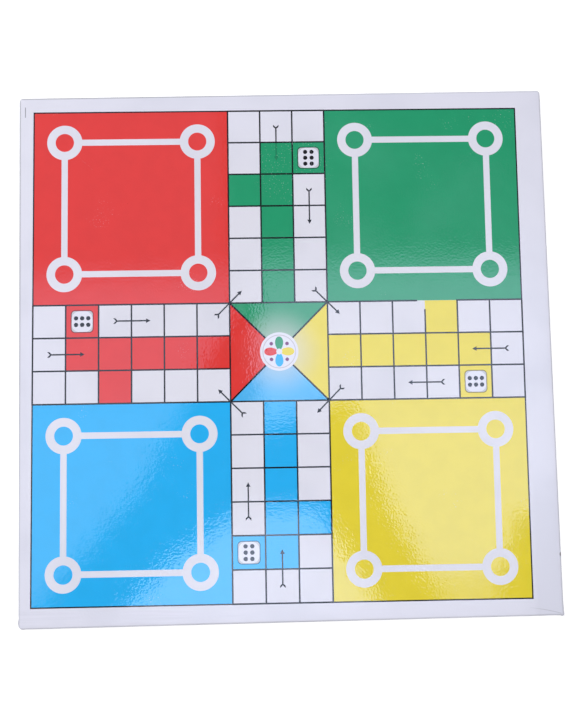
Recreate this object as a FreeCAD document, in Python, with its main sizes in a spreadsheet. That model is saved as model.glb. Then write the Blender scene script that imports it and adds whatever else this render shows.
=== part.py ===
import FreeCAD, Part
import math
import os
import Sketcher

# A flat wrapped game board. A pasteboard core carries a printed sheet with a clear film on it,
# pasted over the front, round the four edges and in over the rim of the back, where it is mitred
# at the corners. The pressed turn-ins lie flush in the back of the core, and a second printed
# sheet with its own film is pasted over them, a little inside the edges.
# +Z is up, the ludo side is on top, and the origin is the centre of the face it rests on.

doc = FreeCAD.newDocument("ludo_board")

# Driving dimensions, in millimetres.
driving_sizes = {
    "board_width": 350.0,
    "board_depth": 348.0,
    "core_thickness": 2.4,
    "paper_thickness": 0.15,
    "film_thickness": 0.03,
    "paste_thickness": 0.05,
    "corner_radius": 2.2,
    "edge_radius": 0.7,
    "turn_in_width": 15.0,
    "turn_in_clearance": 0.3,
    "mitre_gap": 0.8,
    "back_margin": 5.0,
    "cut_overrun": 2.0,
}
sheet = doc.addObject("Spreadsheet::Sheet", "Sizes")
for row, (alias, value) in enumerate(driving_sizes.items(), start=1):
    sheet.set(f"A{row}", alias)
    sheet.set(f"B{row}", str(value))
    sheet.setAlias(f"B{row}", alias)
doc.recompute()

# Lengths that follow from the sheet, as expressions: the stacks of layers, the levels above the
# resting face, and the core that is left inside the finished width and depth.
through_paste = "Sizes.paste_thickness"
through_paper = "(Sizes.paste_thickness + Sizes.paper_thickness)"
through_film = "(Sizes.paste_thickness + Sizes.paper_thickness + Sizes.film_thickness)"
core_width = f"(Sizes.board_width - 2 * {through_film})"
core_depth = f"(Sizes.board_depth - 2 * {through_film})"
back_sheet_level = "Sizes.film_thickness"
back_paste_level = "(Sizes.film_thickness + Sizes.paper_thickness)"
back_level = through_film
rim_level = f"({back_level} + {through_film})"
core_top_level = f"({back_level} + Sizes.core_thickness)"
opening_width = f"({core_width} - 2 * Sizes.turn_in_width)"
opening_depth = f"({core_depth} - 2 * Sizes.turn_in_width)"


def value_of(expression):
    """The present value of an expression on the sheet, as a plain number."""
    return float(sheet.evalExpression(expression))


def new_body(name):
    body = doc.addObject("PartDesign::Body", name)
    body.Label = name
    return body


def flat_sketch(body, name, level):
    """A sketch parallel to the ground plane of its own body, at a level above the resting face."""
    sketch = body.newObject("Sketcher::SketchObject", name)
    ground = next(plane for plane in body.Origin.OriginFeatures if plane.Role == "XY_Plane")
    sketch.AttachmentSupport = (ground, [""])
    sketch.MapMode = "FlatFace"
    sketch.setExpression("AttachmentOffset.Base.z", level)
    return sketch


def name_sizes(sketch, named_constraints):
    """Adds constraints that have a size, each with a name that its expression is bound to."""
    for name, constraint, expression in named_constraints:
        index = sketch.addConstraint(constraint)
        sketch.renameConstraint(index, name)
        sketch.setExpression(f"Constraints.{name}", expression)


def draw_rectangle(sketch, width, depth):
    """A square-cornered rectangle, centred on the origin of its sketch."""
    half_x = value_of(width) / 2
    half_y = value_of(depth) / 2
    signs = [(-1, -1), (1, -1), (1, 1), (-1, 1)]
    corners = [FreeCAD.Vector(sx * half_x, sy * half_y, 0) for sx, sy in signs]
    for side, corner in enumerate(corners):
        sketch.addGeometry(Part.LineSegment(corner, corners[(side + 1) % len(corners)]), False)
    for side in range(len(corners)):
        next_side = (side + 1) % len(corners)
        sketch.addConstraint(Sketcher.Constraint("Coincident", side, 2, next_side, 1))
        sketch.addConstraint(Sketcher.Constraint("Vertical" if side % 2 else "Horizontal", side))
    sketch.addConstraint(Sketcher.Constraint("Symmetric", 0, 1, 2, 1, -1, 1))
    name_sizes(
        sketch,
        [
            ("width", Sketcher.Constraint("DistanceX", 0, 1, 0, 2, 2 * half_x), width),
            ("depth", Sketcher.Constraint("DistanceY", 1, 1, 1, 2, 2 * half_y), depth),
        ],
    )


def draw_rounded_rectangle(sketch, width, depth, radius):
    """A rectangle with round corners, centred on the origin: four sides and four tangent arcs."""
    half_x = value_of(width) / 2
    half_y = value_of(depth) / 2
    round_off = value_of(radius)
    inner_x = half_x - round_off
    inner_y = half_y - round_off
    ends = [
        ((-inner_x, -half_y), (inner_x, -half_y)),
        ((half_x, -inner_y), (half_x, inner_y)),
        ((inner_x, half_y), (-inner_x, half_y)),
        ((-half_x, inner_y), (-half_x, -inner_y)),
    ]
    centres = [(inner_x, -inner_y), (inner_x, inner_y), (-inner_x, inner_y), (-inner_x, -inner_y)]
    sides = len(ends)
    quarter_turn = math.pi / 2
    for start, end in ends:
        sketch.addGeometry(Part.LineSegment(FreeCAD.Vector(*start, 0), FreeCAD.Vector(*end, 0)), False)
    for corner, centre in enumerate(centres):
        circle = Part.Circle(FreeCAD.Vector(*centre, 0), FreeCAD.Vector(0, 0, 1), round_off)
        first = (corner - 1) * quarter_turn
        sketch.addGeometry(Part.ArcOfCircle(circle, first, first + quarter_turn), False)
    for side in range(sides):
        arc = sides + side
        next_side = (side + 1) % sides
        sketch.addConstraint(Sketcher.Constraint("Tangent", side, 2, arc, 1))
        sketch.addConstraint(Sketcher.Constraint("Tangent", arc, 2, next_side, 1))
        sketch.addConstraint(Sketcher.Constraint("Vertical" if side % 2 else "Horizontal", side))
    for arc in range(sides + 1, 2 * sides):
        sketch.addConstraint(Sketcher.Constraint("Equal", sides, arc))
    sketch.addConstraint(Sketcher.Constraint("Symmetric", sides, 3, sides + 2, 3, -1, 1))
    name_sizes(
        sketch,
        [
            ("width", Sketcher.Constraint("DistanceX", 3, 1, 1, 1, 2 * half_x), width),
            ("depth", Sketcher.Constraint("DistanceY", 0, 1, 2, 1, 2 * half_y), depth),
            ("radius", Sketcher.Constraint("Radius", sides, round_off), radius),
        ],
    )


def pad(body, sketch, name, height):
    feature = body.newObject("PartDesign::Pad", name)
    feature.Profile = sketch
    feature.setExpression("Length", height)
    doc.recompute()
    return feature


def flat_panel(body, name, level, thickness, width, depth):
    """A square-cornered slab of a sheet or of a raised field."""
    outline = flat_sketch(body, f"{name}_outline", level)
    draw_rectangle(outline, width, depth)
    return pad(body, outline, f"{name}_pad", thickness)


def wrapped_form(name, growth):
    """The pressed core's rounded form, grown all round by the layers that lie on it.

    A rounded rectangle is padded from the rim of the back to the front, and the edges of its two
    flat faces are filleted, so each layer's corners and edges are an even offset of the core's.
    """
    body = new_body(name)
    outline = flat_sketch(body, f"{name}_outline", f"{rim_level} - {growth}")
    draw_rounded_rectangle(
        outline,
        f"{core_width} + 2 * {growth}",
        f"{core_depth} + 2 * {growth}",
        f"Sizes.corner_radius + {growth}",
    )
    block = pad(body, outline, f"{name}_pad", f"{core_top_level} - {rim_level} + 2 * {growth}")
    soft_edges = body.newObject("PartDesign::Fillet", f"{name}_soft_edges")
    flat_faces = [
        f"Face{number}"
        for number, face in enumerate(block.Shape.Faces, start=1)
        if isinstance(face.Surface, Part.Plane) and face.normalAt(0, 0).isParallel(FreeCAD.Vector(0, 0, 1), 0)
    ]
    soft_edges.Base = (block, flat_faces)
    soft_edges.setExpression("Radius", f"Sizes.edge_radius + {growth}")
    doc.recompute()
    return body


def cut(name, base, tool):
    feature = doc.addObject("Part::Cut", name)
    feature.Label = name
    feature.Base = base
    feature.Tool = tool
    return feature


# The pasteboard core: its rim is pressed down on the back by the turn-ins, and the field between
# them stands proud of the rim by their thickness.
core_board = wrapped_form("core_board", "0")
flat_panel(
    core_board,
    "core_back_field",
    back_level,
    through_film,
    f"{opening_width} - 2 * Sizes.turn_in_clearance",
    f"{opening_depth} - 2 * Sizes.turn_in_clearance",
)

# What the trimmed sheet leaves open on the back: the field between the turn-ins, and a mitre slit
# from each corner of that field out past the corner of the board.
back_opening = new_body("back_opening")
flat_panel(
    back_opening,
    "opening_field",
    f"{back_level} - Sizes.cut_overrun",
    f"{through_film} + Sizes.cut_overrun",
    opening_width,
    opening_depth,
)
mitre_slits = []
diagonal_share = math.sqrt(0.5)
for number, (sx, sy) in enumerate([(1, 1), (-1, 1), (-1, -1), (1, -1)], start=1):
    slit = doc.addObject("Part::Box", f"mitre_slit_{number}")
    slit.setExpression(
        "Length",
        f"Sizes.mitre_gap + (Sizes.turn_in_width + {through_film}) / {diagonal_share} + Sizes.cut_overrun",
    )
    slit.setExpression("Width", "Sizes.mitre_gap")
    slit.setExpression("Height", f"{through_film} + Sizes.cut_overrun")
    outward = math.degrees(math.atan2(sy, sx))
    slit.Placement.Rotation = FreeCAD.Rotation(FreeCAD.Vector(0, 0, 1), outward)
    inside = f"Sizes.mitre_gap * {diagonal_share}"
    aside = f"Sizes.mitre_gap / 2 * {diagonal_share}"
    slit.setExpression("Placement.Base.x", f"{sx} * ({opening_width} / 2 - {inside}) + {sy} * {aside}")
    slit.setExpression("Placement.Base.y", f"{sy} * ({opening_depth} / 2 - {inside}) - {sx} * {aside}")
    slit.setExpression("Placement.Base.z", f"{back_level} - Sizes.cut_overrun")
    mitre_slits.append(slit)
trimmed_away = doc.addObject("Part::MultiFuse", "trimmed_away")
trimmed_away.Shapes = [back_opening] + mitre_slits

# The three layers that wrap the core, from the inside out: each is the form over it less the form
# under it, trimmed on the back.
paste_form = wrapped_form("paste_form", through_paste)
sheet_form = wrapped_form("sheet_form", through_paper)
film_form = wrapped_form("film_form", through_film)
face_paste = cut("face_paste", cut("face_paste_untrimmed", paste_form, core_board), trimmed_away)
ludo_sheet = cut("ludo_sheet", cut("ludo_sheet_untrimmed", sheet_form, paste_form), trimmed_away)
ludo_film = cut("ludo_film", cut("ludo_film_untrimmed", film_form, sheet_form), trimmed_away)

# The three layers of the back, square-cut and pasted over the ends of the turn-ins.
back_width = "Sizes.board_width - 2 * Sizes.back_margin"
back_depth = "Sizes.board_depth - 2 * Sizes.back_margin"
back_paste = new_body("back_paste")
flat_panel(back_paste, "back_paste_coat", back_paste_level, "Sizes.paste_thickness", back_width, back_depth)
snakes_sheet = new_body("snakes_sheet")
flat_panel(snakes_sheet, "snakes_paper", back_sheet_level, "Sizes.paper_thickness", back_width, back_depth)
snakes_film = new_body("snakes_film")
flat_panel(snakes_film, "snakes_gloss", "0", "Sizes.film_thickness", back_width, back_depth)

doc.recompute()
sub_parts = [core_board, face_paste, ludo_sheet, ludo_film, back_paste, snakes_sheet, snakes_film]
for item in doc.Objects:
    if {"Invalid", "Error"} & set(item.State):
        raise RuntimeError(f"{item.Label} did not build: {item.State}")
for item in sub_parts:
    if item.Shape.isNull() or not item.Shape.isValid():
        raise RuntimeError(f"{item.Label} has no valid shape")
    if len(item.Shape.Solids) != 1:
        raise RuntimeError(f"{item.Label} has {len(item.Shape.Solids)} solids")

os.makedirs("parts", exist_ok=True)
for item in sub_parts:
    item.Shape.exportStep(f"parts/{item.Label}.step")
    box = item.Shape.BoundBox
    print(item.Label, "volume", round(item.Shape.Volume, 1), "from", box.ZMin, "to", box.ZMax)
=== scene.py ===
import bpy
import numpy as np
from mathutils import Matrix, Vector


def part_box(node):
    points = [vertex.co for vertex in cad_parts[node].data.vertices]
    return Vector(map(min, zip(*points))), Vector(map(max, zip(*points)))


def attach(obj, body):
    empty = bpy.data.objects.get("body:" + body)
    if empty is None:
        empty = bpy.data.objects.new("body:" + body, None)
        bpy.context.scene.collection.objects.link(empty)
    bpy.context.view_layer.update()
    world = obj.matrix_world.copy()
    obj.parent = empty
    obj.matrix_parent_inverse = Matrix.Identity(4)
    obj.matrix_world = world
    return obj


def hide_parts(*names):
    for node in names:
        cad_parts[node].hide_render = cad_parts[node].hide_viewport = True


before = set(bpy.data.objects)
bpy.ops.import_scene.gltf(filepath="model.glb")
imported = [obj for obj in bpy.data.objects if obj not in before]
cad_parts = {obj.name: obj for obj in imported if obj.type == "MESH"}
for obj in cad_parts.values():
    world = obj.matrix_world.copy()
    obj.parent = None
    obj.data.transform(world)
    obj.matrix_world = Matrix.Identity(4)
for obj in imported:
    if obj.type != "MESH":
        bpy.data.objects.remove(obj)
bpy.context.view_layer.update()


# Core board
# A stiff panel of grey pasteboard, pressed from recycled fibre and cut square. Every layer is
# glued to it, so all that shows is a thread of grey in the mitred corners of the back.

class Field:
    """A number, colour or direction at each point of a surface, held as one shader socket.

    Arithmetic on fields and numbers adds Math nodes. A comparison gives a mask that goes from
    0 to 1 over a narrow band, as the edge of printed ink does, and & and | join two masks.
    """

    ink_edge = 0.008

    def __init__(self, socket):
        self.socket = socket

    def node(self, kind, settings, sockets, output=0):
        """Adds a node of any kind: its settings first, then the values or links of its sockets."""
        tree = self.socket.id_data
        made = tree.nodes.new(kind)
        for name, value in settings.items():
            setattr(made, name, value)
        for name, value in sockets.items():
            if isinstance(value, Field):
                tree.links.new(value.socket, made.inputs[name])
            else:
                made.inputs[name].default_value = value
        return Field(made.outputs[output])

    def math(self, operation, first, second=0.0, third=0.0, clamp=False):
        """Adds a Math node on numbers and fields."""
        settings = {"operation": operation, "use_clamp": clamp}
        return self.node("ShaderNodeMath", settings, {0: first, 1: second, 2: third})

    def __add__(self, other):
        return self.math("ADD", self, other)

    def __sub__(self, other):
        return self.math("SUBTRACT", self, other)

    def __rsub__(self, other):
        return self.math("SUBTRACT", other, self)

    def __mul__(self, other):
        return self.math("MULTIPLY", self, other)

    def __abs__(self):
        return self.math("ABSOLUTE", self)

    def __and__(self, other):
        return self.math("MINIMUM", self, other)

    def __or__(self, other):
        return self.math("MAXIMUM", self, other)

    def __lt__(self, limit):
        steepness = 1 / self.ink_edge
        if isinstance(limit, Field):
            return self.math("MULTIPLY_ADD", limit - self, steepness, 0.5, clamp=True)
        return self.math("MULTIPLY_ADD", self, -steepness, limit * steepness + 0.5, clamp=True)

    def __gt__(self, limit):
        return 1 - (self < limit)

    __radd__ = __add__
    __rmul__ = __mul__

    def fraction(self):
        """What is left over the next whole number below."""
        return self.math("FRACT", self)

    def sign(self):
        """1 above zero and -1 below it."""
        return self.math("SIGN", self)

    def distance(self, other):
        """The length of the vector whose two parts are self and other."""
        return self.math("SQRT", self.math("MULTIPLY_ADD", self, self, other * other))

    def ease(self, start, end):
        """0 before start and 1 after end, with a smooth rise between them."""
        settings = {"interpolation_type": "SMOOTHSTEP"}
        return self.node("ShaderNodeMapRange", settings, {0: self, 1: start, 2: end, 3: 0.0, 4: 1.0})

    def pick(self, off, on, blend="MIX"):
        """The colour off where this mask is 0 and the colour on, or a blend of both, where it is 1."""
        settings = {"data_type": "RGBA", "blend_type": blend}
        return self.node("ShaderNodeMix", settings, {0: self, 6: off, 7: on}, 2)

    def noise(self, scale, detail=2.0, stretch=(1.0, 1.0, 1.0)):
        """Cloudy values about 0.5 over these places, with so many blots to each unit of length."""
        place = self.node("ShaderNodeVectorMath", {"operation": "MULTIPLY"}, {0: self, 1: stretch})
        return self.node("ShaderNodeTexNoise", {}, {"Vector": place, "Scale": scale, "Detail": detail})

    def split(self):
        """The three parts of a place."""
        parts = self.node("ShaderNodeSeparateXYZ", {}, {0: self}).socket.node
        return [Field(output) for output in parts.outputs]

    def feed(self, shader, name):
        """Links this field to a socket of a shader."""
        self.socket.id_data.links.new(self.socket, shader.inputs[name])

    def emboss(self, shader, depth):
        """Raises and sinks the shading of a surface by this field times a depth in metres."""
        bump = self.node("ShaderNodeBump", {}, {"Distance": depth, "Height": self}, "Normal")
        bump.feed(shader, "Normal")


def new_finish(name, roughness=0.5):
    """A bare material with one shader: the material, the shader and the place of each point."""
    material = bpy.data.materials.new(name)
    material.use_nodes = True
    shader = material.node_tree.nodes["Principled BSDF"]
    shader.inputs["Roughness"].default_value = roughness
    shader.inputs["IOR"].default_value = 1.5
    place = material.node_tree.nodes.new("ShaderNodeTexCoord").outputs["Object"]
    return material, shader, Field(place)


def dress(node, material):
    """Puts a material on a CAD node that stays as it is."""
    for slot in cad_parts[node].material_slots:
        slot.material = material


def greyboard_finish():
    """Grey pulp with long pale fibres, dark flecks of old ink and a felt-marked surface."""
    pulp_grey = (0.26, 0.24, 0.21, 1)
    fibre_pale = (0.42, 0.39, 0.34, 1)
    fleck_dark = (0.07, 0.065, 0.06, 1)
    felt_depth = 0.00004
    material, shader, place = new_finish("greyboard", 0.92)
    fibres = place.noise(900, 4, (0.25, 1, 1)).ease(0.42, 0.66)
    flecks = place.noise(1500, 2).ease(0.68, 0.74)
    flecks.pick(fibres.pick(pulp_grey, fibre_pale), fleck_dark).feed(shader, "Base Color")
    (fibres + place.noise(2600, 3)).emboss(shader, felt_depth)
    return material


dress("core_board", greyboard_finish())


# Face paste
# The thin coat of starch paste that holds the ludo sheet on the front, round the edges and on the
# rim of the back. It is rolled on wet and dries to a pale, faintly streaked film.

def paste_finish(name, streak):
    """Cream paste with thick and thin streaks along the roller's way, glossier where it is thick."""
    paste_thin = (0.62, 0.58, 0.48, 1)
    paste_thick = (0.80, 0.77, 0.68, 1)
    streak_depth = 0.00003
    material, shader, place = new_finish(name)
    coat = place.noise(260, 3, streak)
    coat.ease(0.35, 0.7).pick(paste_thin, paste_thick).feed(shader, "Base Color")
    (0.75 - 0.4 * coat).feed(shader, "Roughness")
    coat.emboss(shader, streak_depth)
    return material


dress("face_paste", paste_finish("face_paste_coat", (0.08, 1, 1)))


# Ludo cover
# A sheet of art paper printed with the ludo track and laminated with clear gloss film. It is glued
# over the front, turned round the four edges and glued down on the back with mitred corners.

cover_low, cover_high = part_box("ludo_film")
cover_half = np.array([cover_high.x - cover_low.x, cover_high.y - cover_low.y]) / 2
cover_thickness = cover_high.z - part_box("face_paste")[1].z
cover_edge_radius = 0.00093
turn_in = 0.01523
mitre_gap = 0.0008
fold_reach = 0.0016
# Corners run anticlockwise from the green yard's: each was folded by hand and came out different.
cover_corner_radii = np.array([0.0023, 0.00245, 0.00245, 0.0011])
# Where the paper stands proud or is drawn in beside each corner: along the edge, width, height.
corner_folds = [
    [(0.0, 0.0012, 0.00005)],
    [(0.0, 0.0015, 0.00006)],
    [(-0.0034, 0.0012, 0.00038), (-0.0062, 0.0010, -0.00015), (0.0022, 0.0012, 0.00012)],
    [(0.0, 0.0016, 0.00060), (0.0042, 0.0022, 0.00022)],
]
arc_steps = 12
side_steps = 72


def edge_profile():
    """How far in from the edge and how high each row of the sheet is, from the flat of the face,
    which falls away a hair towards the edge, round two quarter circles to the end of the turn-in."""
    face_inset = np.array([0.016, 0.011, 0.0078, 0.0058, 0.0043, 0.0032, 0.0023, 0.0016])
    fall_width = 0.007
    fall_depth = 0.00007
    flap_start = 0.0018
    fall = fall_depth * np.clip(1 - face_inset / fall_width, 0, 1) ** 2
    turn = np.linspace(0, np.pi / 2, 8)
    out = cover_edge_radius * (1 - np.sin(turn))
    down = cover_edge_radius * (1 - np.cos(turn)) + fall[-1]
    side = np.linspace(cover_high.z - down[-1], cover_low.z + cover_edge_radius, 4)[1:-1]
    flap_inset = np.linspace(flap_start, turn_in, 6)
    inset = np.concatenate([face_inset, out, 0 * side, out[::-1], flap_inset])
    under = cover_low.z + cover_edge_radius * (1 - np.cos(turn[::-1]))
    height = np.concatenate([cover_high.z - fall, cover_high.z - down, side, under,
                             np.full(len(flap_inset), cover_low.z)])
    return inset, height, len(inset) - len(flap_inset)


def fold_rise(radii, side_length, folds):
    """How far each point round a sheet stands proud of it. Each fold is a bell curve of the way along
    the edge from the middle of its corner, on to the next corner and back to the one before."""
    arc_length = radii[:, None] * (np.linspace(0, np.pi / 2, arc_steps + 1) - np.pi / 4)
    after = np.concatenate([arc_length, arc_length[:, -1:] + side_length], axis=1)
    side_back = -(side_length[:, ::-1] + np.roll(arc_length, -1, axis=0)[:, -1:])
    before = np.concatenate([np.full(arc_length.shape, np.inf), side_back], axis=1)
    proud = np.zeros(after.shape)
    for corner, fold in enumerate(folds):
        for along, width, rise in fold:
            proud[corner] += rise * np.exp(-((after[corner] - along) / width) ** 2)
            proud[corner - 1] += rise * np.exp(-((before[corner - 1] - along) / width) ** 2)
    return proud


def wrapped_rows(inset, height, half, radii, least_radius, folds):
    """Rows of rounded rectangles, each set in from the edge and put at a height. Round each one the
    corners are quarter circles whose radius shrinks with the inset, the sides are straight between
    them, and folds move the points near a corner outwards, less the farther in they lie."""
    corner_sign = np.array([[1, 1], [-1, 1], [-1, -1], [1, -1]])
    radius = np.maximum(radii - inset[:, None], least_radius)
    centre = corner_sign * (half - inset[:, None, None] - radius[:, :, None])
    angle = np.linspace(0, np.pi / 2, arc_steps + 1) + np.arange(4)[:, None] * np.pi / 2
    outward = np.stack([np.cos(angle), np.sin(angle)], axis=-1)
    arcs = centre[:, :, None] + radius[:, :, None, None] * outward
    share = (1 - np.cos(np.linspace(0, np.pi, side_steps + 1)[1:-1])) / 2
    start, end = arcs[:, :, -1, None], np.roll(arcs, -1, axis=1)[:, :, 0, None]
    sides = start + (end - start) * share[:, None]
    plan = np.concatenate([arcs, sides], axis=2)
    side_out = np.repeat(outward[:, -1:], len(share), axis=1)
    outward = np.concatenate([outward, side_out], axis=1)

    side_length = np.linalg.norm(end - start, axis=-1)[0] * share
    proud = fold_rise(radii, side_length, folds)
    grip = np.exp(-(inset / fold_reach) ** 2)
    plan = plan + outward * (grip[:, None, None] * proud)[..., None]
    plan = plan.reshape(len(inset), -1, 2)
    level = np.broadcast_to(height[:, None, None], plan.shape[:2] + (1,))
    return np.concatenate([plan, level], axis=2)


def ring_faces(keep):
    """Four-sided faces between the rows of a closed ring. Keep has one place for each of them, row by
    row, and is true where the face is wanted."""
    columns = keep.shape[1]
    row, column = np.nonzero(keep)
    following = (column + 1) % columns
    return np.stack([row * columns + column, (row + 1) * columns + column,
                     (row + 1) * columns + following, row * columns + following], axis=1)


def new_surface(name, points, faces, material):
    """A smooth mesh in the board's own frame."""
    mesh = bpy.data.meshes.new(name)
    mesh.from_pydata(points.reshape(-1, 3), [], faces)
    mesh.polygons.foreach_set("use_smooth", np.ones(len(faces), bool))
    mesh.materials.append(material)
    surface = bpy.data.objects.new(name, mesh)
    bpy.context.scene.collection.objects.link(surface)
    return surface


def new_piece(name, points, faces, material):
    """A surface that belongs to the board and moves with it."""
    piece = new_surface(name, points, faces, material)
    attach(piece, "root")
    return piece


def gloss_film(shader, place, bare=0.0):
    """Clear film: low roughness with faint handling marks, more over bare paper than over ink, and
    the dimpled skin of lamination, dimples about two millimetres apart over wider hollows."""
    dimple_depth = 0.00003
    film_roughness, marks_roughness, bare_roughness = 0.03, 0.03, 0.2
    dimples = place.noise(760, 0.5)
    hollows = place.noise(220, 1, (0.7, 1, 1))
    (dimples + hollows * 0.7).emboss(shader, dimple_depth)
    marks = place.noise(35, 4, (1, 2.5, 1)).ease(0.45, 0.75)
    (film_roughness + marks_roughness * marks + bare_roughness * bare).feed(shader, "Roughness")


paper_white = (0.80, 0.80, 0.92, 1)
paper_dull = (0.725, 0.73, 0.845, 1)
ink_black = (0.012, 0.012, 0.016, 1)
ludo_red = (0.82, 0.049, 0.043, 1)
ludo_green = (0.024, 0.35, 0.168, 1)
ludo_yellow = (0.87, 0.72, 0.050, 1)
ludo_blue = (0.026, 0.485, 0.99, 1)
ludo_square = np.array([0.02149, 0.02163])
ludo_middle = np.array([-0.00488, 0.00051])
ludo_turn = -0.00605
# What is printed is measured in squares of the track, from the middle of the print.
print_half = 7.5
home_half = 1.5
square_half = 0.5
rule_half = 0.0245
row_offset = 1
die_inward = 1.5
roundel_radius = 0.585


def ludo_squares(place, middle, square):
    """Places counted in squares of the track, right and up from the middle of the print."""
    return place.node("ShaderNodeMapping", {"vector_type": "TEXTURE"}, {
        "Vector": place, "Location": (*middle, 0), "Rotation": (0, 0, ludo_turn),
        "Scale": (*square, square.mean())})


def patch(right, up, middle, half):
    """The mask of an upright rectangle, given by its middle and its half width and half height."""
    return (abs(right - middle[0]) < half[0]) & (abs(up - middle[1]) < half[1])


def yard_marks(wide, tall):
    """The masks of the corner yards and of the white rings and bars in them, alike in all four. Rings
    stand as far to each side of a yard's middle as up and down, and the bars join them."""
    yard_middle, ring_place, ring_radius = 4.5, 2.05, 0.413
    ring_half, bar_half, bar_reach = 0.130, 0.096, 1.6
    yard = (wide & tall) > home_half
    across, down = abs(wide - yard_middle), abs(tall - yard_middle)
    rings = abs((across - ring_place).distance(down - ring_place) - ring_radius) < ring_half
    bars = (abs((across | down) - ring_place) < bar_half) & ((across & down) < bar_reach)
    return yard, (rings | bars) & yard


def rounded_square(across, down, half, corner):
    """How far a point lies outside a square with round corners, both measured from its middle."""
    flat = half - corner
    return ((across - flat) | 0.0).distance((down - flat) | 0.0) - corner


def print_die(colour, across, down):
    """Lays a die's face, seen square on, over a colour: its dark outline, its grey bevel, its white
    flat, which has rounder corners, and its six pips."""
    die_half, die_corner = 0.332, 0.12
    flat_half, flat_corner = 0.315, 0.235
    line_out, line_in = 0.016, -0.012
    pip_across, pip_down, pip_radius = 0.186, 0.1, 0.066
    outline_shade = (0.30, 0.28, 0.28, 1)
    bevel_grey = (0.58, 0.60, 0.66, 1)
    edge = rounded_square(across, down, die_half, die_corner)
    flat = rounded_square(across, down, flat_half, flat_corner)
    from_pip = (across & abs(across - pip_across)).distance(abs(down - pip_down))
    colour = (edge < line_out).pick(colour, outline_shade, "MULTIPLY")
    colour = (edge < line_in).pick(colour, bevel_grey)
    colour = (flat < 0).pick(colour, paper_white)
    return (from_pip < pip_radius).pick(colour, ink_black)


def arm_places(right, up):
    """The four arms turned onto one: how far in from the arm's outer end a place is, and how far to
    the side of its middle line."""
    level = abs(right) > abs(up)
    inward = print_half - (abs(right) | abs(up))
    sideways = level * (right.sign() * up * -1) + (1 - level) * (up.sign() * right)
    return inward, sideways


def arm_squares(inward, sideways):
    """The mask of an arm's coloured squares: its home column, its safe square and its die square."""
    column_start, safe_inward = 1, 2.5
    column = (abs(sideways) < square_half) & (inward > column_start)
    safe = (abs(inward - safe_inward) | abs(sideways + row_offset)) < square_half
    die_square = (abs(inward - die_inward) | abs(sideways - row_offset)) < square_half
    return column | safe | die_square


def arrow_ink(along, across):
    """A thin arrow along a line: a shaft, a filled head and two short tail barbs."""
    length, head, head_half, shaft_half = 1.08, 0.135, 0.07, 0.022
    barb, barb_half, barb_reach, shaft_start = 0.06, 0.034, 0.085, 0.042
    offset = abs(across)
    shaft = (offset < shaft_half) & (along > shaft_start) & (along < length - head / 2)
    tip = (offset < (length - along) * (head_half / head)) & (along > length - head)
    barbs = (abs(offset + along - barb) < barb_half) & (offset < barb_reach) & (along < barb)
    return shaft | tip | barbs


def arrow_marks(right, up, inward, sideways):
    """The mask of the arrows: straight ones on two rows of each arm, and one that passes each corner
    of the home square on a slant. The one on the first green square has hardly taken."""
    row_start, upper_start, slant_start, slant_reach = 0.5, 2.5, 0.545, 0.6
    diagonal, faint_loss = np.sqrt(0.5), 0.7
    wide, tall = abs(right), abs(up)
    upper = sideways.math("GREATER_THAN", sideways, square_half)
    slanted = wide.math("LESS_THAN", abs(wide - home_half) | abs(tall - home_half), slant_reach)
    slant_along = (right * up).sign() * (wide - tall) * diagonal + slant_start
    slant_across = (wide + tall - 2 * home_half) * diagonal
    row_along = inward - row_start - (upper_start - row_start) * upper
    along = slanted * slant_along + (1 - slanted) * row_along
    across = slanted * slant_across + (1 - slanted) * (sideways - upper)
    faint = patch(right, up, middle=(0, 6), half=(square_half, 0.47))
    return arrow_ink(along, across) & (1 - faint_loss * faint)


def rule_marks(right, up):
    """The mask of the black rules between the squares, across the home square and round the print,
    with two slips of the press: rules hidden at the top of the yellow safe square, and a trim mark."""
    crossing_half, border_half, trim_dark = rule_half * 1.5, rule_half * 0.86, 0.7
    wide, tall = abs(right), abs(up)
    far, near = wide | tall, wide & tall
    from_rule = abs(right.fraction() - square_half) & abs(up.fraction() - square_half)
    grid = (from_rule < rule_half) & (near < home_half + rule_half) & (far > home_half - rule_half)
    outside_roundel = right.distance(up) > roundel_radius
    crossing = (abs(wide - tall) < crossing_half) & (far < home_half) & outside_roundel
    border = abs(far - print_half) < border_half
    rules = (grid | crossing | border) & (far < print_half + rule_half)
    hidden_top = patch(right, up, middle=(4.87, 1.5), half=(0.6, 0.06))
    hidden_side = patch(right, up, middle=(4.5, 1.38), half=(0.05, 0.15))
    trim_mark = patch(right, up, middle=(-7.772, 7.52), half=(0.011, 0.16))
    return (rules & (1 - (hidden_top | hidden_side))) | (trim_mark * trim_dark)


def arm_hue(right, up, yard):
    """The ink of each place. Colours turn with the arms, and a yard belongs to the arm on its
    anticlockwise side."""
    turned_right, turned_up = right - yard * up, up + yard * right
    level_hue = (turned_right > 0).pick(ludo_red, ludo_yellow)
    upright_hue = (turned_up > 0).pick(ludo_blue, ludo_green)
    return (abs(turned_right) > abs(turned_up)).pick(upright_hue, level_hue)


def home_glow(right, up, radius):
    """How far the inks of the home square fade to a pale grey: most round the roundel and little at
    the outside, a bit more there in the blue quarter. The red quarter hardly fades."""
    most, outside_loss, blue_gain, red_loss = 0.58, 0.56, 0.07, 0.9
    fade_start = 0.3
    level = abs(right) > abs(up)
    home = (abs(right) | abs(up)) < home_half
    fade = outside_loss - blue_gain * ((up < 0) & (1 - level))
    glow = most - fade * radius.ease(fade_start, home_half)
    return glow * home * (1 - red_loss * (level & (right < 0)))


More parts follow.
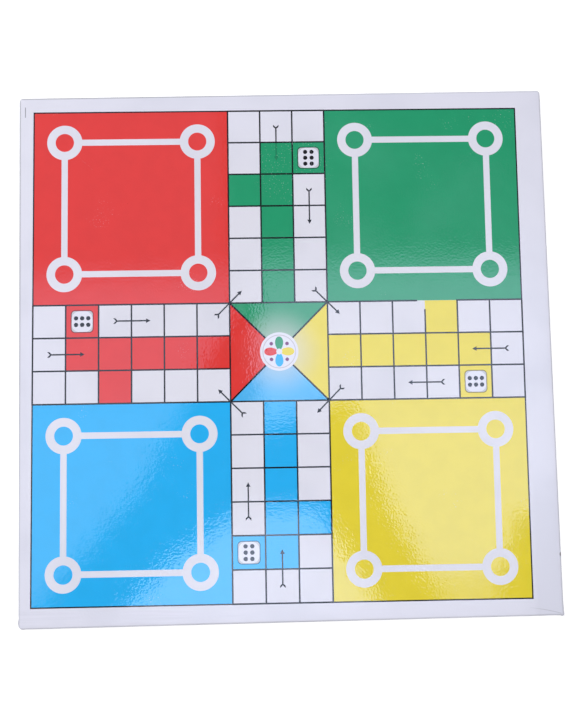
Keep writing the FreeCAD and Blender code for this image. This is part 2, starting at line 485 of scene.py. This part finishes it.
def print_roundel(colour, hue, right, up, radius):
    """Lays a plain white roundel over a colour, with four petals in the arms' inks, four dots and a
    thin line. A petal reaches as far as the difference of the squares of right and up, over their
    sum, allows."""
    petal_length, petal_gap, never_zero = 0.46, 0.09, 0.001
    dot_place, dot_radius, line_radius, line_half = 0.24, 0.055, 0.5, 0.014
    dot_plum = (0.22, 0.05, 0.20, 1)
    line_grey = (0.60, 0.58, 0.66, 1)
    lean = abs(right * right - up * up)
    reach = lean.math("DIVIDE", lean, radius * radius + never_zero)
    petals = (radius < petal_length * reach) & (radius > petal_gap)
    dots = (abs(right) - dot_place).distance(abs(up) - dot_place) < dot_radius
    colour = (radius < roundel_radius).pick(colour, paper_white)
    colour = petals.pick(colour, hue)
    colour = dots.pick(colour, dot_plum)
    return (abs(radius - line_radius) < line_half).pick(colour, line_grey)


def paper_wear(place, right, up):
    """How dull the bare paper is: in patches, along the lower end of the right margin, and in streaks
    along the left half of the lower margin."""
    margin_band, margin_end = (7.4, 7.7), (-5, -3.2)
    streak_top, streak_end = -7.54, (-3, 2)
    most_dull, streak_dull = 0.8, 0.5
    patches = place.noise(20, 2).ease(0.42, 0.75)
    right_margin = right.ease(*margin_band) * (1 - up.ease(*margin_end))
    lower_margin = (up < streak_top) & (1 - right.ease(*streak_end))
    streaks = place.noise(420, 2, (0.02, 1, 1)).ease(0.48, 0.62) & lower_margin
    return (patches | right_margin) * most_dull | streaks * streak_dull


def rim_wear(place):
    """How far the rim is greyed: painted shade where the rounded edge turns away from the light,
    with some greying by hands, most at the red yard's corner and less away from it.
    """
    rim_width, rim_full = 0.0016, 0.0002
    loss, loss_band = 0.6, (0.05, 0.28)
    across, along, _ = place.split()
    from_edge = (abs(across) - cover_half[0]) | (abs(along) - cover_half[1])
    from_red_corner = (across + cover_half[0]).distance(along - cover_half[1])
    return from_edge.ease(-rim_width, -rim_full) * (1 - loss * from_red_corner.ease(*loss_band))


def rubbed_specks(place, right, up):
    """How pale the ink is in specks where it is rubbed, here and there and at the green arm's end."""
    green_right, green_up, green_band, speck_pale = 0.5, 5.7, (0.7, 1.4), 0.35
    green_end = 1 - (right - green_right).distance(up - green_up).ease(*green_band)
    rubbed = place.noise(36, 2).ease(0.62, 0.72) | green_end
    return (place.noise(1100, 1).ease(0.66, 0.74) & rubbed) * speck_pale


def dark_scars(right, up):
    """How dark two marks are: painted shade along a crease across the yellow yard's corner, which
    follows a parabola and grows stronger outwards, and a nick at the right edge."""
    crease_start, crease_level, crease_fall = 7.4, -7.775, 0.1
    crease_half, crease_reach, crease_band, crease_dark = 0.013, 0.47, (-0.2, 0.6), 0.2
    nick_right, nick_up, nick_radius, nick_dark = 8.39, -6.22, 0.03, 0.8
    bend = right - crease_start
    from_crease = abs(up - crease_level + crease_fall * bend + crease_fall * bend * bend)
    crease = (from_crease < crease_half) & (abs(bend - crease_reach) < crease_reach)
    nick = (right - nick_right).distance((up - nick_up) * 0.5) < nick_radius
    return crease * bend.ease(*crease_band) * crease_dark | nick * nick_dark


def ludo_finish():
    """The ludo track in offset inks under gloss film. The pattern is worked out in squares from the
    middle of the print. A quarter turn takes each colour's arm to the next, so one arm is drawn."""
    ink_thin = (0.965, 0.965, 0.965, 1)
    paper_middle_shade = (0.925, 0.91, 0.88, 1)
    home_pale = (0.70, 0.72, 0.72, 1)
    rim_grey = (0.52, 0.53, 0.51, 1)
    middle_shade_band, front_height = (3.5, 9), 0.07
    material, shader, place = new_finish("ludo_print")
    right, up, height = ludo_squares(place, ludo_middle, ludo_square).split()
    wide, tall = abs(right), abs(up)
    far, near, radius = wide | tall, wide & tall, right.distance(up)
    inward, sideways = arm_places(right, up)
    yard, yard_white = yard_marks(wide, tall)
    arm = (near < home_half) & (far > home_half) & arm_squares(inward, sideways)
    inked = ((yard & (1 - yard_white)) | arm | (far < home_half)) & (far < print_half)
    # The black marks include painted shade along a crease across the yellow yard's corner.
    black = rule_marks(right, up) | arrow_marks(right, up, inward, sideways) | dark_scars(right, up)

    hue = place.noise(90, 3).ease(0.3, 0.7).pick(arm_hue(right, up, yard), ink_thin, "MULTIPLY")
    paper = paper_wear(place, right, up).pick(paper_white, paper_dull)
    # Painted shade: the bare paper is greyed towards the middle of the board, against the brightening
    # there by the ceiling's reflection.
    paper = (1 - far.ease(*middle_shade_band)).pick(paper, paper_middle_shade, "MULTIPLY")
    colour = inked.pick(paper, hue)
    colour = home_glow(right, up, radius).pick(colour, home_pale)
    colour = print_roundel(colour, hue, right, up, radius)
    colour = print_die(colour, abs(inward - die_inward), abs(sideways - row_offset))
    colour = black.pick(colour, ink_black)
    colour = rubbed_specks(place, right, up).pick(colour, paper_white)
    # Painted shade of the rounded edge, with some greying by hands, darkens the rim.
    colour = rim_wear(place).pick(colour, rim_grey, "MULTIPLY")
    (height > front_height).pick(paper_white, colour).feed(shader, "Base Color")
    gloss_film(shader, place, 1 - inked)
    return material


cover_inset, cover_height, flap_row = edge_profile()
cover_points = wrapped_rows(cover_inset, cover_height, cover_half, cover_corner_radii,
                            mitre_gap / np.sqrt(2), corner_folds)
cover_rows, cover_columns = cover_points.shape[:2]
cover_keep = np.ones((cover_rows - 1, cover_columns), bool)
cover_keep[flap_row:, np.arange(cover_columns) % (arc_steps + side_steps) < arc_steps] = False
cover_faces = ring_faces(cover_keep).tolist() + [list(range(cover_columns))]
ludo_cover = new_piece("ludo_cover", cover_points, cover_faces, ludo_finish())
wall = ludo_cover.modifiers.new("paper_thickness", "SOLIDIFY")
wall.thickness = cover_thickness
wall.offset = -1
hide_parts("ludo_sheet", "ludo_film")


# Back paste
# The coat of the same starch paste under the back sheet. It is rolled on the other way, from one side
# of the board to the other, and laps over the ends of the turn-ins.

dress("back_paste", paste_finish("back_paste_coat", (1, 0.08, 1)))


# Snakes cover
# The second sheet of laminated art paper, trimmed inside the board's edges so that it hides the
# ends of the turn-ins. It is printed with ten rows of ten squares for snakes and ladders.

sheet_low, sheet_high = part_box("snakes_film")
sheet_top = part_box("snakes_sheet")[1].z
sheet_half = np.array([sheet_high.x - sheet_low.x, sheet_high.y - sheet_low.y]) / 2
track_square = 0.031
track_half = 5


def snakes_finish():
    """A ten by ten board of pale squares in four turning colours, ruled in black, with a blue band
    round it. It is laid out along X, which runs to the left when the sheet is read from below."""
    pale_red = (0.86, 0.42, 0.36, 1)
    pale_green = (0.36, 0.66, 0.38, 1)
    pale_yellow = (0.87, 0.77, 0.30, 1)
    pale_blue = (0.33, 0.62, 0.87, 1)
    band_blue = (0.03, 0.16, 0.50, 1)
    track_rule_half, band_width = 0.012, 0.16
    material, shader, place = new_finish("snakes_print")
    squares = place.node("ShaderNodeVectorMath", {"operation": "DIVIDE"},
                         {0: place, 1: (track_square, track_square, track_square)})
    left, up, _ = squares.split()
    far = abs(left) | abs(up)
    from_middle = abs(left.fraction() - square_half) | abs(up.fraction() - square_half)
    rules = (from_middle > square_half - track_rule_half) & (far < track_half)
    step = left.math("FLOOR", left) + up.math("FLOOR", up) * 3
    quarter = (step * 0.25).fraction()
    square_hue = (quarter > 0.4).pick((quarter > 0.15).pick(pale_yellow, pale_red),
                                      (quarter > 0.65).pick(pale_green, pale_blue))
    band = (far > track_half) & (far < track_half + band_width)
    tone = place.noise(80, 3)
    colour = (far < track_half).pick(paper_white, (tone * 0.12).pick(square_hue, paper_white))
    colour = band.pick(colour, band_blue)
    colour = rules.pick(colour, ink_black)
    colour.feed(shader, "Base Color")
    gloss_film(shader, place)
    return material


sheet_corner = 0.0002
sheet_flat = 0.02
sheet_inset = np.array([sheet_flat, 0, 0, sheet_flat])
sheet_height = np.array([sheet_top, sheet_top, sheet_low.z, sheet_low.z])
sheet_points = wrapped_rows(sheet_inset, sheet_height, sheet_half, np.full(4, sheet_corner),
                            sheet_corner, [])
sheet_rows, sheet_columns = sheet_points.shape[:2]
sheet_faces = ring_faces(np.ones((sheet_rows - 1, sheet_columns), bool)).tolist()
sheet_rim = np.arange(sheet_columns)
under_rim = sheet_rim[::-1] + (sheet_rows - 1) * sheet_columns
sheet_faces += [sheet_rim.tolist(), under_rim.tolist()]
snakes_cover = new_piece("snakes_cover", sheet_points, sheet_faces, snakes_finish())
snakes_cover.data.polygons.foreach_set("use_smooth", np.zeros(len(sheet_faces), bool))
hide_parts("snakes_sheet", "snakes_film")


# Square numbers
# Plain figures from 1 to 100, printed in black in the corner of each square of the back. They run
# to and fro up the sheet from its lower left square.

ink_layer = 0.00002
figure_layer = 4
figure_size = 0.0094
figure_corner = np.array([-0.0095, 0.0103])


def square_middle(number):
    """The middle of a numbered square, right and up as the back is read: rows of ten, each turned."""
    row, step = divmod(number - 1, 2 * track_half)
    column = step if row % 2 == 0 else 2 * track_half - 1 - step
    return (np.array([column, row]) - track_half + 0.5) * track_square


def on_back(flat, layer):
    """Flat points turned over onto the back sheet, where right is -X, some layers of ink down."""
    level = np.full(len(flat), sheet_low.z - layer * ink_layer)
    return np.column_stack([-flat[:, 0], flat[:, 1], level])


def figure_shape(number):
    """The flat points and the faces of a number set in plain type about its own middle."""
    type_line = bpy.data.curves.new("figure", "FONT")
    type_line.body = str(number)
    type_line.size = figure_size
    type_line.align_x = "CENTER"
    type_line.align_y = "CENTER"
    type_line.resolution_u = 3
    holder = bpy.data.objects.new("figure", type_line)
    outline = bpy.data.meshes.new_from_object(holder)
    flat = np.empty((len(outline.vertices), 3))
    outline.vertices.foreach_get("co", flat.reshape(-1))
    faces = [list(polygon.vertices) for polygon in outline.polygons]
    bpy.data.objects.remove(holder)
    bpy.data.curves.remove(type_line)
    bpy.data.meshes.remove(outline)
    return flat[:, :2], faces


def figure_finish():
    """Black ink that is a little thinner in places, under the film."""
    ink_charcoal = (0.03, 0.03, 0.035, 1)
    material, shader, place = new_finish("figure_ink")
    place.noise(700, 3).ease(0.3, 0.8).pick(ink_black, ink_charcoal).feed(shader, "Base Color")
    gloss_film(shader, place)
    return material


figure_points, figure_faces, figure_count = [], [], 0
for number in range(1, 4 * track_half**2 + 1):
    flat, faces = figure_shape(number)
    figure_points.append(on_back(flat + square_middle(number) + figure_corner, figure_layer))
    figure_faces += [[corner + figure_count for corner in face] for face in faces]
    figure_count += len(flat)
new_piece("square_numbers", np.concatenate(figure_points), figure_faces, figure_finish())


# Ladders
# Six ladders, each printed from the square where a counter climbs to the square where it gets off:
# two rails in a wood brown with a dark outline, over evenly spaced rungs.

ladder_squares = [(5, 26), (9, 48), (21, 62), (36, 57), (53, 72), (64, 96)]
ladder_half = 0.0052
rail_half = 0.00125
rung_half = 0.0009
rung_gap = 0.0085
rung_layer = 1
rail_layer = 2


def printed_strips(name, strips, material):
    """Flat strips of ink joined in one piece on the back. A strip is a straight line from -1 to 1,
    carried square to a path with its own half width at each point, and has a tone and a layer. Each
    corner keeps how many millimetres along its strip it lies and its place across the strip."""
    mm_per_metre = 1000
    across = np.linspace(-1, 1, 7)
    points, faces, marks, tones = [], [], [], []
    for path, half_width, tone, layer in strips:
        ahead = np.gradient(path, axis=0)
        ahead = ahead / np.linalg.norm(ahead, axis=1, keepdims=True)
        sideways = np.column_stack([-ahead[:, 1], ahead[:, 0]])
        flat = path[:, None] + sideways[:, None] * (half_width[:, None] * across)[..., None]
        steps = np.linalg.norm(np.diff(path, axis=0), axis=1)
        along = np.concatenate([[0], np.cumsum(steps)]) * mm_per_metre
        between = np.ones((len(path) - 1, len(across)), bool)
        between[:, -1] = False
        faces.append(ring_faces(between) + sum(map(len, points)))
        points.append(on_back(flat.reshape(-1, 2), layer))
        marks.append(np.stack(np.broadcast_arrays(along[:, None], across), axis=-1).reshape(-1, 2))
        tones.append(np.full(flat.shape[0] * flat.shape[1], tone))
    faces = np.concatenate(faces)
    piece = new_piece(name, np.concatenate(points), faces.tolist(), material)
    strip_map = piece.data.uv_layers.new(name="strip")
    strip_map.data.foreach_set("uv", np.concatenate(marks)[faces.reshape(-1)].reshape(-1))
    tone_layer = piece.data.attributes.new("tone", "FLOAT", "POINT")
    tone_layer.data.foreach_set("value", np.concatenate(tones))
    return piece


def straight_strip(start, end, half_width, layer, tone=0.0):
    """A strip of one width along the line between two points."""
    return np.array([start, end]), np.full(2, half_width), tone, layer


def ladder_strips(foot, top):
    """The rungs of one ladder, spaced evenly between two points, then its two rails over them."""
    way = (top - foot) / np.linalg.norm(top - foot)
    sideways = np.array([-way[1], way[0]]) * ladder_half
    rungs = int(np.linalg.norm(top - foot) / rung_gap)
    for share in (np.arange(rungs) + 0.5) / rungs:
        middle = foot + (top - foot) * share
        yield straight_strip(middle - sideways, middle + sideways, rung_half, rung_layer)
    rail_end = way * rung_gap / 2
    for side in (-sideways, sideways):
        yield straight_strip(foot + side - rail_end, top + side + rail_end, rail_half, rail_layer)


def ladder_finish():
    """Printed wood: brown with darker streaks along the strip and a dark line down each edge."""
    wood_light = (0.55, 0.27, 0.09, 1)
    wood_dark = (0.33, 0.13, 0.035, 1)
    edge_line = 0.72
    material, shader, place = new_finish("ladder_ink")
    strip = place.node("ShaderNodeUVMap", {"uv_map": "strip"}, {})
    _, across, _ = strip.split()
    grain = strip.noise(1.6, 3, (0.12, 1.6, 1)).ease(0.35, 0.65)
    colour = grain.pick(wood_light, wood_dark)
    (abs(across) > edge_line).pick(colour, ink_black).feed(shader, "Base Color")
    gloss_film(shader, place)
    return material


all_ladders = []
for foot, top in ladder_squares:
    all_ladders += ladder_strips(square_middle(foot), square_middle(top))
printed_strips("ladders", all_ladders, ladder_finish())


# Snakes
# Seven snakes, each printed from the square of its head to the square of its tail: a winding body
# with a row of diamonds, a dark outline, two eyes and a forked tongue.

snake_squares = [(98, 60), (94, 68), (90, 50), (67, 34), (43, 17), (30, 12), (39, 3)]
snake_half = 0.0050
snake_swing = 0.0085
snake_wave = 0.062
head_length = 0.0085
tongue_half = 0.0004
tongue_tone = 2.0
snake_layer = 3
body_steps = 160


def snake_strips(head, tail, tone):
    """One snake: a line from head to tail that swings to both sides as a sine wave, more in the
    middle than at the ends. Its width rises round the nose as a quarter circle, draws in at the neck
    as a bell curve and falls to a point at the tail. The tongue is a stem with two prongs."""
    neck_place, neck_reach, neck_loss = 1.9 * head_length, 0.6 * head_length, 0.38
    tail_power, least_width = 0.55, 0.02
    tongue_root, tongue_stem, prong_ahead, prong_aside = 0.001, 0.0042, 0.0030, 0.0017
    share = np.linspace(0, 1, body_steps)
    length = np.linalg.norm(tail - head)
    way = (tail - head) / length
    sideways = np.array([-way[1], way[0]])
    turns = max(1, round(length / snake_wave))
    swing = snake_swing * np.sin(2 * np.pi * turns * share) * np.sin(np.pi * share) ** 0.5
    path = head + (tail - head) * share[:, None] + sideways * swing[:, None]
    along = length * share
    nose = np.sqrt(1 - (1 - np.minimum(along / head_length, 1)) ** 2)
    neck = 1 - neck_loss * np.exp(-((along - neck_place) / neck_reach) ** 2)
    half_width = snake_half * np.maximum(nose * neck * (1 - share) ** tail_power, least_width)
    yield path, half_width, tone, snake_layer
    ahead = (path[0] - path[3]) / np.linalg.norm(path[0] - path[3])
    aside = np.array([-ahead[1], ahead[0]])
    fork = path[0] + ahead * tongue_stem
    yield straight_strip(path[0] - ahead * tongue_root, fork, tongue_half, snake_layer, tongue_tone)
    for side in (-1, 1):
        prong = fork + ahead * prong_ahead + aside * side * prong_aside
        yield straight_strip(fork, prong, tongue_half, snake_layer, tongue_tone)


def snake_finish():
    """Printed scales: each snake has a tone that sets its colour, with pale diamonds down its back,
    darker sides, a black outline, white eyes with black pupils, and a red tongue."""
    snake_green = (0.07, 0.36, 0.06, 1)
    snake_orange = (0.80, 0.22, 0.03, 1)
    snake_violet = (0.20, 0.09, 0.42, 1)
    diamond_pale = (0.88, 0.72, 0.22, 1)
    tongue_red = (0.70, 0.03, 0.03, 1)
    side_shade = (0.45, 0.45, 0.45, 1)
    diamonds_per_mm, diamond_spread, body_start = 0.11, 1.25, 15
    eye_along, eye_across, eye_long, eye_wide = 5.6, 0.45, 0.62, 2.4
    outline = 0.86
    material, shader, place = new_finish("snake_ink")
    strip = place.node("ShaderNodeUVMap", {"uv_map": "strip"}, {})
    tone = place.node("ShaderNodeAttribute", {"attribute_name": "tone"}, {}, "Fac")
    along, across, _ = strip.split()
    offset = abs(across)
    from_diamond = abs((along * diamonds_per_mm).fraction() - 0.5) * 2 + offset * diamond_spread
    body = along > body_start
    from_eye = ((along - eye_along) * eye_long).distance((offset - eye_across) * eye_wide)
    colour = (tone > 0.66).pick((tone > 0.33).pick(snake_green, snake_orange), snake_violet)
    colour = (offset * offset).pick(colour, side_shade, "MULTIPLY")
    for reach, ink in ((0.82, ink_black), (0.66, diamond_pale), (0.26, tongue_red)):
        colour = ((from_diamond < reach) & body).pick(colour, ink)
    for reach, ink in ((0.85, paper_white), (0.42, ink_black)):
        colour = (from_eye < reach).pick(colour, ink)
    colour = (offset > outline).pick(colour, ink_black)
    colour = (tone > 1.5).pick(colour, tongue_red)
    colour.feed(shader, "Base Color")
    gloss_film(shader, place)
    return material


all_snakes = []
for turn, (head, tail) in enumerate(snake_squares):
    all_snakes += snake_strips(square_middle(head), square_middle(tail), turn % 3 / 2)
printed_strips("snakes", all_snakes, snake_finish())


# Floor
# A plain white sweep: flat under the board and curving up all round. It is seen from above only, so
# that the back of the board can be looked at from below.

floor_drop = 0.0002
floor_rings = [0.05, 0.5]
floor_flat = 1.3
floor_bend = 1.1


def sweep_points():
    """A flat disc that bends up through a quarter circle, turned about the upright axis."""
    climb = np.linspace(0, np.pi / 2, 16)
    radius = np.concatenate([floor_rings, floor_flat + floor_bend * np.sin(climb)])
    height = np.concatenate([np.zeros(len(floor_rings)), floor_bend * (1 - np.cos(climb))]) - floor_drop
    turn = np.linspace(0, 2 * np.pi, 97)[:-1]
    return np.stack([radius[:, None] * np.cos(turn), radius[:, None] * np.sin(turn),
                     height[:, None] + 0 * turn], axis=-1)


def floor_finish():
    """Matt white that shines a little of its own light, and is clear from below."""
    material, shader, place = new_finish("white_sweep", 0.9)
    shader.inputs["Base Color"].default_value = (0.86, 0.86, 0.87, 1)
    shader.inputs["Emission Color"].default_value = (1, 1, 1, 1)
    shader.inputs["Emission Strength"].default_value = 0.35
    behind = place.node("ShaderNodeNewGeometry", {}, {}, "Backfacing")
    clear = place.node("ShaderNodeBsdfTransparent", {}, {})
    paint = Field(shader.outputs[0])
    shown = place.node("ShaderNodeMixShader", {}, {0: behind, 1: paint, 2: clear})
    shown.feed(material.node_tree.nodes["Material Output"], "Surface")
    return material


sweep = sweep_points()
sweep_rows, sweep_columns = sweep.shape[:2]
sweep_faces = ring_faces(np.ones((sweep_rows - 1, sweep_columns), bool)).tolist()
sweep_faces.append(list(range(sweep_columns)))
floor = new_surface("floor", sweep, sweep_faces, floor_finish())
floor.visible_diffuse = False
floor.visible_shadow = False


# Camera
# Held almost straight above the board, a little towards the players of the blue and yellow yards.
# Its place and turn are those from which the board was seen.

camera_place = np.array([-0.00724, -0.04863, 0.55886])
camera_data = bpy.data.cameras.new("camera")
camera_data.sensor_width = 24
camera_data.lens = 28.333
camera = bpy.data.objects.new("camera", camera_data)
camera.location = camera_place
camera.rotation_euler = (0.0782, -0.0167, -0.0226)
bpy.context.scene.collection.objects.link(camera)
bpy.context.scene.camera = camera


# Lights
# A soft key light from the upper left, a fill from above and one from below, and a lit ceiling whose
# reflection in the film washes out parts of the print as the camera sees them. It shows in gloss only.

ceiling_rise = 1.2
ceiling_half = 1.1
# Three bright fields on the ceiling leave a dark one between them, like an inverted V. These are the
# lines between light and dark, each followed down the print, in the squares where they are mirrored.
left_line = [(-1.15, 1.8), (-4.2, -4.0), (-6.6, -6.7)]
near_left_line = [(-1.1, -4.65), (-3.5, -6.292), (-4.4, -7.3)]
near_right_line = [(1.2, -4.9), (2.8, -7.5)]
right_line = [(2.6, -2.7), (3.3, -4.8), (4.5, -7.0)]


def beside(right, up, line, hand):
    """The mask of what lies on one hand of someone who walks along a bent line: 1 for the right hand,
    which points to the print's left edge where the line goes down, and -1 for the left hand."""
    border = 0.12
    mask = 1.0
    for start, end in zip(line, line[1:]):
        way = np.subtract(end, start) / np.hypot(*np.subtract(end, start))
        past = ((right - start[0]) * way[1] - (up - start[1]) * way[0]) * hand
        mask = past.ease(-border, border) & mask
    return mask


def left_light(right, up):
    """Light over the left of the print, weaker upwards, that ends below the red yard's middle."""
    strength, loss, loss_band, end_band = 2.2, 0.45, (-3, 0), (1.6, 3.4)
    field = beside(right, up, left_line, 1) * (1 - up.ease(*end_band))
    return field * (strength - loss * up.ease(*loss_band))


def near_light(right, up):
    """Light over the near edge, between the two feet of the dark field."""
    strength, top_band = 4.9, (-4.85, -4.55)
    field = beside(right, up, near_left_line, -1) & beside(right, up, near_right_line, 1)
    return (field & (1 - up.ease(*top_band))) * strength


def right_light(right, up):
    """Light over the right of the print and, above a slanting line, over its middle. It ends before
    the right edge and is half as strong along the near one."""
    strength, loss, loss_band, end_band = 4.1, 0.8, (-3.5, 0.5), (1.9, 3.6)
    middle_left, middle_slope, middle_foot = (-0.8, -0.55), 0.35, (-2.55, -1.75)
    side_slope, side_band, side_top = 0.25, (8.2, 8.4), (-5.2, -4.8)
    near_loss, near_band = 0.5, (-6.9, -6.65)
    middle = right.ease(*middle_left) & (up - middle_slope * right).ease(*middle_foot)
    side = (right - side_slope * up).ease(*side_band) & (1 - up.ease(*side_top))
    near = (1 - up.ease(*near_band)) * near_loss
    field = (beside(right, up, right_line, -1) | middle) * (1 - (side | near)) * (1 - up.ease(*end_band))
    return field * (strength - loss * up.ease(*loss_band))


def yard_haze(place, right, up):
    """Weak light over the two upper yards: cloudy over the green one, even over the red one."""
    least_cloud, cloud, red_strength = 0.12, 0.7, 0.5
    green_left, green_foot, green_slope, green_top = (0.5, 2), (1.5, 3.5), 0.3, (6.8, 8.6)
    red_right, red_foot = (-1.8, -1.4), (1.6, 3.4)
    clouds = least_cloud + cloud * place.noise(9, 2).ease(0.35, 0.7)
    green_yard = right.ease(*green_left) * up.ease(*green_foot)
    green_haze = clouds * green_yard * (1 - (up + green_slope * right).ease(*green_top))
    return green_haze | red_strength * (1 - right.ease(*red_right)) * up.ease(*red_foot)


def ceiling_finish():
    """Light that comes and goes over the ceiling. Each point is counted in the squares over which
    the camera sees it mirrored: as far past a square as the camera is before it, in the ratio of
    their heights. Bright fields and hazes end at the print's margins, and the rest is dim."""
    daylight = (0.76, 0.92, 1.25)
    dim, margin_band = 0.06, (7.7, 8.7)
    material, shader, place = new_finish("lit_ceiling", 0.9)
    growth = ceiling_rise / (camera_place[2] - cover_high.z)
    middle = ludo_middle * (1 + growth) - camera_place[:2] * growth
    right, up, _ = ludo_squares(place, middle, ludo_square * (1 + growth)).split()
    over_board = 1 - (abs(right) | abs(up)).ease(*margin_band)
    bright = left_light(right, up) | right_light(right, up) | near_light(right, up)
    strength = over_board * (bright | yard_haze(place, right, up)) + dim
    light = place.node("ShaderNodeVectorMath", {"operation": "SCALE"}, {"Scale": strength, 0: daylight})
    light.feed(shader, "Emission Color")
    shader.inputs["Emission Strength"].default_value = 1
    shader.inputs["Base Color"].default_value = (0, 0, 0, 1)
    return material


def soft_light(name, place, turn, size, energy):
    """A square area light at a place, turned by three angles, that the camera doesn't see."""
    lamp = bpy.data.lights.new(name, "AREA")
    lamp.size = size
    lamp.energy = energy
    light = bpy.data.objects.new(name, lamp)
    light.location = place
    light.rotation_euler = turn
    light.visible_camera = False
    bpy.context.scene.collection.objects.link(light)
    return light


ceiling_corners = np.array([[-1, -1], [-1, 1], [1, 1], [1, -1]]) * ceiling_half
ceiling_points = np.column_stack([ceiling_corners, np.full(4, cover_high.z + ceiling_rise)])
ceiling = new_surface("ceiling", ceiling_points, [[0, 1, 2, 3]], ceiling_finish())
ceiling.visible_camera = False
ceiling.visible_diffuse = False
ceiling.visible_shadow = False

key_place = np.array([-1.0, 0.9, 1.1])
key_tilt = np.arctan2(np.hypot(*key_place[:2]), key_place[2])
key_turn = np.arctan2(-key_place[0], key_place[1]) + np.pi
key = soft_light("key", key_place, (key_tilt, 0, key_turn), size=0.9, energy=7.5)
key.data.shape = "DISK"
# The lower fill shines through the floor, which casts no shadow, so that the back isn't dark.
fill_rise = 1.8
fill = soft_light("fill", (0, 0, fill_rise), (0, 0, 0), size=1.6, energy=25.5)
under_fill = soft_light("under_fill", (0, 0, -fill_rise), (np.pi, 0, 0), size=1.6, energy=28)
for light in (fill, under_fill):
    light.visible_glossy = False

room = bpy.data.worlds.new("room")
room.use_nodes = True
room.node_tree.nodes["Background"].inputs["Color"].default_value = (0.14, 0.14, 0.15, 1)
bpy.context.scene.world = room
bpy.context.scene.view_settings.view_transform = "Standard"
